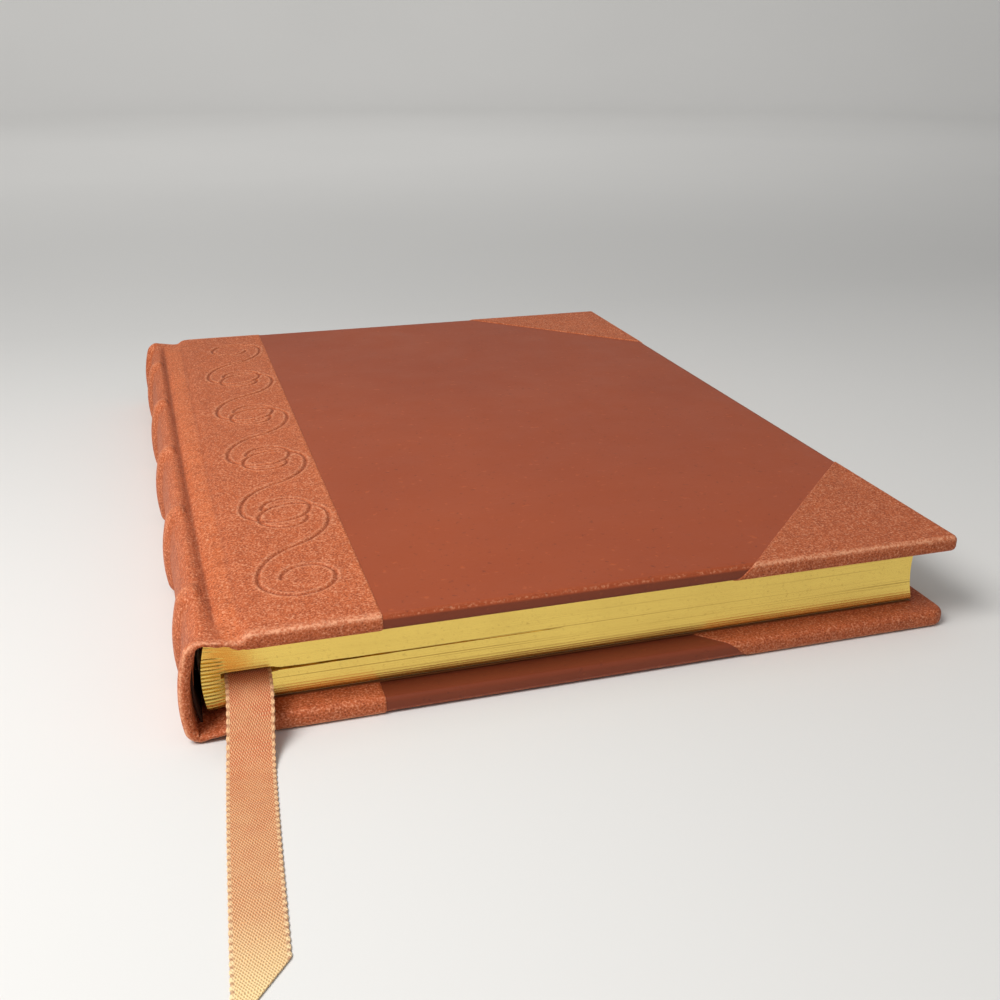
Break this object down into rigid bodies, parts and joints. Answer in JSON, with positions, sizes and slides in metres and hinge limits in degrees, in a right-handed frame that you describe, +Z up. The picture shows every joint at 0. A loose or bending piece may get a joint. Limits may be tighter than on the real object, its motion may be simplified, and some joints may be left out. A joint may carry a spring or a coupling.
{
  "type": "leather journal",
  "caption": "Closed half-leather journal lying flat: tan leather spine with raised bands and tan corners, brown leather sides, gilt page edges, satin ribbon marker; both covers swing open",
  "frame": {"origin": "bottom centre of the closed book's box, ribbon left out, on the face that lies on the table", "axes": "+X from the spine to the fore-edge, +Y from the tail to the head of the book, +Z up through the front cover"},
  "size_m": [0.1576, 0.279, 0.0208],
  "materials": {
    "tan_leather": "satin",
    "brown_leather": "satin",
    "gilt_pages": "satin",
    "endpaper": "matte",
    "greyboard": "matte",
    "spine_card": "matte",
    "ribbon_satin": "satin"
  },
  "bodies": {
    "book_block": {"text_block": "gilt_pages", "front_flyleaf": "endpaper", "back_flyleaf": "endpaper", "spine_lining": "endpaper", "spine_hollow": "endpaper", "spine_stiffener": "spine_card", "spine_leather": "tan_leather", "ribbon_marker": "ribbon_satin", "raised_band_1": "spine_card", "raised_band_2": "spine_card", "raised_band_3": "spine_card", "raised_band_4": "spine_card", "raised_band_5": "spine_card"},
    "front_cover": {"front_board": "greyboard", "front_spine_flap": "tan_leather", "front_side": "brown_leather", "front_tail_corner": "tan_leather", "front_head_corner": "tan_leather", "front_pastedown": "endpaper"},
    "back_cover": {"back_board": "greyboard", "back_spine_flap": "tan_leather", "back_side": "brown_leather", "back_tail_corner": "tan_leather", "back_head_corner": "tan_leather", "back_pastedown": "endpaper"}
  },
  "joints": [
    {"name": "front_cover_hinge", "type": "hinge", "parent": "book_block", "child": "front_cover", "pos_m": [-0.07003, 0, 0.0209], "axis": [0, -1, 0], "range_deg": [0, 180]},
    {"name": "back_cover_hinge", "type": "hinge", "parent": "book_block", "child": "back_cover", "pos_m": [-0.07003, 0, -0.0001], "axis": [0, 1, 0], "range_deg": [0, 180]}
  ]
}
